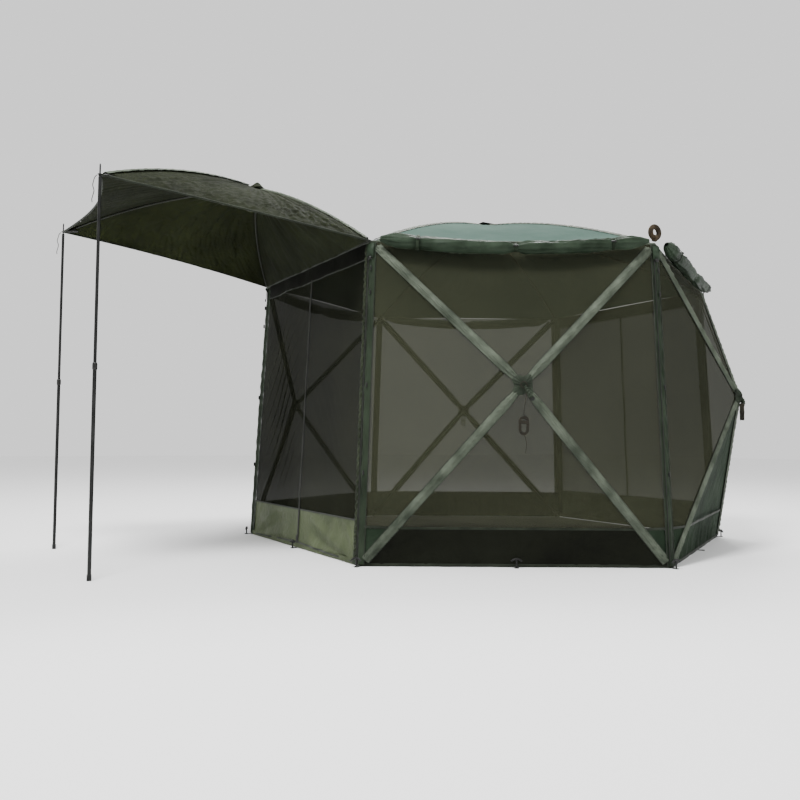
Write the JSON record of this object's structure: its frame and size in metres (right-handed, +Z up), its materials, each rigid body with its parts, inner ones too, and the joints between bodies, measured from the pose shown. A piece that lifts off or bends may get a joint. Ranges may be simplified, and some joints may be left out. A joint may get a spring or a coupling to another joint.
{
  "type": "screen house",
  "caption": "Hexagonal pop-up screen house with mesh walls, a domed roof, zipped doors, rolled-up window flaps and a braced awning held up by telescoping poles.",
  "frame": {"origin": "centre of the hexagon on the ground, under the roof hub", "axes": "+Z up; -Y out through the front door, the way the awning points; X across, with the part alike on both sides"},
  "size_m": [3.594, 4.5091, 2.372],
  "materials": {
    "brackets": "moulded black plastic",
    "strips": "sage webbing",
    "mesh": "fine insect mesh",
    "skirts": "coated polyester",
    "sleeves": "sage coated polyester",
    "roof": "light grey-green coated polyester",
    "rolls": "sage polyester, rolled",
    "ties": "dark webbing",
    "pegs": "black steel",
    "loops": "dark webbing and ring",
    "cord": "dark braided cord",
    "groundsheet": "light grey woven polyethylene",
    "zips": "dark plastic",
    "hubs": "moulded dark plastic",
    "rods": "fibreglass rod",
    "awning": "sage coated polyester",
    "awning_rods": "fibreglass rod",
    "tubes": "satin grey tube"
  },
  "bodies": {
    "house": {"corner_brackets": "brackets", "corner_strips": "strips", "mesh_panel_1": "mesh", "mesh_panel_2": "mesh", "mesh_panel_4": "mesh", "mesh_panel_5": "mesh", "wall_skirts": "skirts", "pole_sleeves": "sleeves", "door_frames": "strips", "roof_canopy": "roof", "window_rolls": "rolls", "roll_ties": "ties", "pegs": "pegs", "peg_loops": "loops", "corner_guy_coil": "cord"},
    "groundsheet": {"groundsheet": "groundsheet"},
    "front_door_left": {"front_door_left": "mesh"},
    "front_door_right": {"front_door_right": "mesh"},
    "front_zip_slider": {"front_zip_slider": "zips"},
    "back_door_left": {"back_door_left": "mesh"},
    "back_door_right": {"back_door_right": "mesh"},
    "back_zip_slider": {"back_zip_slider": "zips"},
    "wall_hub_1": {"wall_hub_1": "hubs", "guyline_1": "cord", "hank_1": "cord"},
    "pole_1_low_left": {"pole_1_low_left": "rods"},
    "pole_1_low_right": {"pole_1_low_right": "rods"},
    "pole_1_high_left": {"pole_1_high_left": "rods"},
    "pole_1_high_right": {"pole_1_high_right": "rods"},
    "wall_hub_2": {"wall_hub_2": "hubs", "hank_2": "cord"},
    "pole_2_low_left": {"pole_2_low_left": "rods"},
    "pole_2_low_right": {"pole_2_low_right": "rods"},
    "pole_2_high_left": {"pole_2_high_left": "rods"},
    "pole_2_high_right": {"pole_2_high_right": "rods"},
    "wall_hub_4": {"wall_hub_4": "hubs", "hank_4": "cord"},
    "pole_4_low_left": {"pole_4_low_left": "rods"},
    "pole_4_low_right": {"pole_4_low_right": "rods"},
    "pole_4_high_left": {"pole_4_high_left": "rods"},
    "pole_4_high_right": {"pole_4_high_right": "rods"},
    "wall_hub_5": {"wall_hub_5": "hubs"},
    "pole_5_low_left": {"pole_5_low_left": "rods"},
    "pole_5_low_right": {"pole_5_low_right": "rods"},
    "pole_5_high_left": {"pole_5_high_left": "rods"},
    "pole_5_high_right": {"pole_5_high_right": "rods"},
    "roof_hub": {"roof_hub": "hubs"},
    "roof_pole_0": {"roof_pole_0": "rods"},
    "roof_pole_1": {"roof_pole_1": "rods"},
    "roof_pole_2": {"roof_pole_2": "rods"},
    "roof_pole_3": {"roof_pole_3": "rods"},
    "roof_pole_4": {"roof_pole_4": "rods"},
    "roof_pole_5": {"roof_pole_5": "rods"},
    "awning": {"awning_canopy": "awning", "awning_frame": "awning_rods", "tip_cords": "cord"},
    "storm_upper_left": {"storm_upper_left": "tubes"},
    "storm_lower_left": {"storm_lower_left": "tubes"},
    "storm_upper_right": {"storm_upper_right": "tubes"},
    "storm_lower_right": {"storm_lower_right": "tubes"}
  },
  "joints": [
    {"name": "groundsheet_drop", "type": "slide", "parent": "house", "child": "groundsheet", "axis": [0, 0, -1], "range_m": [0, 1.15]},
    {"name": "front_door_left_swing", "type": "hinge", "parent": "house", "child": "front_door_left", "pos_m": [-0.792, -1.47224, 0.93], "axis": [0.0268, 0.0465, 0.9986], "range_deg": [0, 80]},
    {"name": "front_door_right_swing", "type": "hinge", "parent": "house", "child": "front_door_right", "pos_m": [0.792, -1.47224, 0.93], "axis": [0.0268, -0.0465, -0.9986], "range_deg": [0, 80]},
    {"name": "front_zip_slide", "type": "slide", "parent": "front_door_left", "child": "front_zip_slider", "axis": [0, 0.0465, 0.9989], "range_m": [0, 1.62]},
    {"name": "back_door_left_swing", "type": "hinge", "parent": "house", "child": "back_door_left", "pos_m": [0.792, 1.47224, 0.93], "axis": [-0.0268, -0.0465, 0.9986], "range_deg": [0, 80]},
    {"name": "back_door_right_swing", "type": "hinge", "parent": "house", "child": "back_door_right", "pos_m": [-0.792, 1.47224, 0.93], "axis": [-0.0268, 0.0465, -0.9986], "range_deg": [0, 80]},
    {"name": "back_zip_slide", "type": "slide", "parent": "back_door_left", "child": "back_zip_slider", "axis": [0, -0.0465, 0.9989], "range_m": [0, 1.62]},
    {"name": "wall_hub_1_push", "type": "slide", "parent": "house", "child": "wall_hub_1", "axis": [-0.866, 0.5, 0], "range_m": [0, 0.622], "deforming": ["pole_1_low_left", "pole_1_low_right", "pole_1_high_left", "pole_1_high_right", "guyline_1", "hank_1"]},
    {"name": "pole_1_low_left_pivot", "type": "hinge", "parent": "house", "child": "pole_1_low_left", "pos_m": [0.87326, -1.48653, 0.025], "axis": [-0.3776, -0.654, 0.6555], "range_deg": [0, 27]},
    {"name": "pole_1_low_right_pivot", "type": "hinge", "parent": "house", "child": "pole_1_low_right", "pos_m": [1.724, -0.013, 0.025], "axis": [-0.3776, -0.654, -0.6555], "range_deg": [0, 27]},
    {"name": "pole_1_high_left_pivot", "type": "hinge", "parent": "house", "child": "pole_1_high_left", "pos_m": [0.82326, -1.39993, 1.835], "axis": [0.3598, 0.6233, 0.6943], "range_deg": [0, 30.2]},
    {"name": "pole_1_high_right_pivot", "type": "hinge", "parent": "house", "child": "pole_1_high_right", "pos_m": [1.624, -0.013, 1.835], "axis": [0.3598, 0.6233, -0.6943], "range_deg": [0, 30.2]},
    {"name": "wall_hub_2_push", "type": "slide", "parent": "house", "child": "wall_hub_2", "axis": [-0.866, -0.5, 0], "range_m": [0, 0.622], "deforming": ["pole_2_low_left", "pole_2_low_right", "pole_2_high_left", "pole_2_high_right", "hank_2"]},
    {"name": "pole_2_low_left_pivot", "type": "hinge", "parent": "house", "child": "pole_2_low_left", "pos_m": [1.724, 0.013, 0.025], "axis": [0.3776, -0.654, 0.6555], "range_deg": [0, 27]},
    {"name": "pole_2_low_right_pivot", "type": "hinge", "parent": "house", "child": "pole_2_low_right", "pos_m": [0.87326, 1.48653, 0.025], "axis": [0.3776, -0.654, -0.6555], "range_deg": [0, 27]},
    {"name": "pole_2_high_left_pivot", "type": "hinge", "parent": "house", "child": "pole_2_high_left", "pos_m": [1.624, 0.013, 1.835], "axis": [-0.3598, 0.6233, 0.6943], "range_deg": [0, 30.2]},
    {"name": "pole_2_high_right_pivot", "type": "hinge", "parent": "house", "child": "pole_2_high_right", "pos_m": [0.82326, 1.39993, 1.835], "axis": [-0.3598, 0.6233, -0.6943], "range_deg": [0, 30.2]},
    {"name": "wall_hub_4_push", "type": "slide", "parent": "house", "child": "wall_hub_4", "axis": [0.866, -0.5, 0], "range_m": [0, 0.622], "deforming": ["pole_4_low_left", "pole_4_low_right", "pole_4_high_left", "pole_4_high_right", "hank_4"]},
    {"name": "pole_4_low_left_pivot", "type": "hinge", "parent": "house", "child": "pole_4_low_left", "pos_m": [-0.87326, 1.48653, 0.025], "axis": [0.3776, 0.654, 0.6555], "range_deg": [0, 27]},
    {"name": "pole_4_low_right_pivot", "type": "hinge", "parent": "house", "child": "pole_4_low_right", "pos_m": [-1.724, 0.013, 0.025], "axis": [0.3776, 0.654, -0.6555], "range_deg": [0, 27]},
    {"name": "pole_4_high_left_pivot", "type": "hinge", "parent": "house", "child": "pole_4_high_left", "pos_m": [-0.82326, 1.39993, 1.835], "axis": [-0.3598, -0.6233, 0.6943], "range_deg": [0, 30.2]},
    {"name": "pole_4_high_right_pivot", "type": "hinge", "parent": "house", "child": "pole_4_high_right", "pos_m": [-1.624, 0.013, 1.835], "axis": [-0.3598, -0.6233, -0.6943], "range_deg": [0, 30.2]},
    {"name": "wall_hub_5_push", "type": "slide", "parent": "house", "child": "wall_hub_5", "axis": [0.866, 0.5, 0], "range_m": [0, 0.622], "deforming": ["pole_5_low_left", "pole_5_low_right", "pole_5_high_left", "pole_5_high_right"]},
    {"name": "pole_5_low_left_pivot", "type": "hinge", "parent": "house", "child": "pole_5_low_left", "pos_m": [-1.724, -0.013, 0.025], "axis": [-0.3776, 0.654, 0.6555], "range_deg": [0, 27]},
    {"name": "pole_5_low_right_pivot", "type": "hinge", "parent": "house", "child": "pole_5_low_right", "pos_m": [-0.87326, -1.48653, 0.025], "axis": [-0.3776, 0.654, -0.6555], "range_deg": [0, 27]},
    {"name": "pole_5_high_left_pivot", "type": "hinge", "parent": "house", "child": "pole_5_high_left", "pos_m": [-1.624, -0.013, 1.835], "axis": [0.3598, -0.6233, 0.6943], "range_deg": [0, 30.2]},
    {"name": "pole_5_high_right_pivot", "type": "hinge", "parent": "house", "child": "pole_5_high_right", "pos_m": [-0.82326, -1.39993, 1.835], "axis": [0.3598, -0.6233, -0.6943], "range_deg": [0, 30.2]},
    {"name": "roof_hub_drop", "type": "slide", "parent": "house", "child": "roof_hub", "axis": [0, 0, -1], "range_m": [0, 0.8], "deforming": ["roof_pole_0", "roof_pole_1", "roof_pole_2", "roof_pole_3", "roof_pole_4", "roof_pole_5"]},
    {"name": "roof_pole_0_pivot", "type": "hinge", "parent": "house", "child": "roof_pole_0", "pos_m": [-0.802, -1.38911, 1.858], "axis": [-0.866, 0.5, 0], "range_deg": [0, 28.8]},
    {"name": "roof_pole_1_pivot", "type": "hinge", "parent": "house", "child": "roof_pole_1", "pos_m": [0.802, -1.38911, 1.858], "axis": [-0.866, -0.5, 0], "range_deg": [0, 28.8]},
    {"name": "roof_pole_2_pivot", "type": "hinge", "parent": "house", "child": "roof_pole_2", "pos_m": [1.604, 0, 1.858], "axis": [0, -1, 0], "range_deg": [0, 28.8]},
    {"name": "roof_pole_3_pivot", "type": "hinge", "parent": "house", "child": "roof_pole_3", "pos_m": [0.802, 1.38911, 1.858], "axis": [0.866, -0.5, 0], "range_deg": [0, 28.8]},
    {"name": "roof_pole_4_pivot", "type": "hinge", "parent": "house", "child": "roof_pole_4", "pos_m": [-0.802, 1.38911, 1.858], "axis": [0.866, 0.5, 0], "range_deg": [0, 28.8]},
    {"name": "roof_pole_5_pivot", "type": "hinge", "parent": "house", "child": "roof_pole_5", "pos_m": [-1.604, 0, 1.858], "axis": [0, 1, 0], "range_deg": [0, 28.8]},
    {"name": "awning_swing", "type": "hinge", "parent": "house", "child": "awning", "pos_m": [0, -1.43694, 1.864], "axis": [1, 0, 0], "range_deg": [0, 35], "deforming": ["tip_cords"]},
    {"name": "storm_left_tilt", "type": "hinge", "parent": "awning", "child": "storm_upper_left", "pos_m": [-0.655, -2.90594, 2.042], "axis": [1, 0, 0], "range_deg": [-35, 0]},
    {"name": "storm_left_telescope", "type": "slide", "parent": "storm_upper_left", "child": "storm_lower_left", "axis": [0, 0, 1], "range_m": [0, 0.905]},
    {"name": "storm_right_tilt", "type": "hinge", "parent": "awning", "child": "storm_upper_right", "pos_m": [0.655, -2.90594, 2.042], "axis": [1, 0, 0], "range_deg": [-35, 0]},
    {"name": "storm_right_telescope", "type": "slide", "parent": "storm_upper_right", "child": "storm_lower_right", "axis": [0, 0, 1], "range_m": [0, 0.905]}
  ],
  "couplings": [
    {"joint": "pole_1_low_left_pivot", "follows": "wall_hub_1_push", "rad_per_m": 0.7556},
    {"joint": "pole_1_low_right_pivot", "follows": "wall_hub_1_push", "rad_per_m": 0.7556},
    {"joint": "pole_1_high_left_pivot", "follows": "wall_hub_1_push", "rad_per_m": 0.8458},
    {"joint": "pole_1_high_right_pivot", "follows": "wall_hub_1_push", "rad_per_m": 0.8458},
    {"joint": "pole_2_low_left_pivot", "follows": "wall_hub_2_push", "rad_per_m": 0.7556},
    {"joint": "pole_2_low_right_pivot", "follows": "wall_hub_2_push", "rad_per_m": 0.7556},
    {"joint": "pole_2_high_left_pivot", "follows": "wall_hub_2_push", "rad_per_m": 0.8458},
    {"joint": "pole_2_high_right_pivot", "follows": "wall_hub_2_push", "rad_per_m": 0.8458},
    {"joint": "pole_4_low_left_pivot", "follows": "wall_hub_4_push", "rad_per_m": 0.7556},
    {"joint": "pole_4_low_right_pivot", "follows": "wall_hub_4_push", "rad_per_m": 0.7556},
    {"joint": "pole_4_high_left_pivot", "follows": "wall_hub_4_push", "rad_per_m": 0.8458},
    {"joint": "pole_4_high_right_pivot", "follows": "wall_hub_4_push", "rad_per_m": 0.8458},
    {"joint": "pole_5_low_left_pivot", "follows": "wall_hub_5_push", "rad_per_m": 0.7556},
    {"joint": "pole_5_low_right_pivot", "follows": "wall_hub_5_push", "rad_per_m": 0.7556},
    {"joint": "pole_5_high_left_pivot", "follows": "wall_hub_5_push", "rad_per_m": 0.8458},
    {"joint": "pole_5_high_right_pivot", "follows": "wall_hub_5_push", "rad_per_m": 0.8458},
    {"joint": "roof_pole_0_pivot", "follows": "roof_hub_drop", "rad_per_m": 0.6252},
    {"joint": "roof_pole_1_pivot", "follows": "roof_hub_drop", "rad_per_m": 0.6252},
    {"joint": "roof_pole_2_pivot", "follows": "roof_hub_drop", "rad_per_m": 0.6252},
    {"joint": "roof_pole_3_pivot", "follows": "roof_hub_drop", "rad_per_m": 0.6252},
    {"joint": "roof_pole_4_pivot", "follows": "roof_hub_drop", "rad_per_m": 0.6252},
    {"joint": "roof_pole_5_pivot", "follows": "roof_hub_drop", "rad_per_m": 0.6252},
    {"joint": "storm_left_tilt", "follows": "awning_swing", "ratio": -1},
    {"joint": "storm_left_telescope", "follows": "awning_swing", "m_per_rad": 1.481},
    {"joint": "storm_right_tilt", "follows": "awning_swing", "ratio": -1},
    {"joint": "storm_right_telescope", "follows": "awning_swing", "m_per_rad": 1.481}
  ]
}
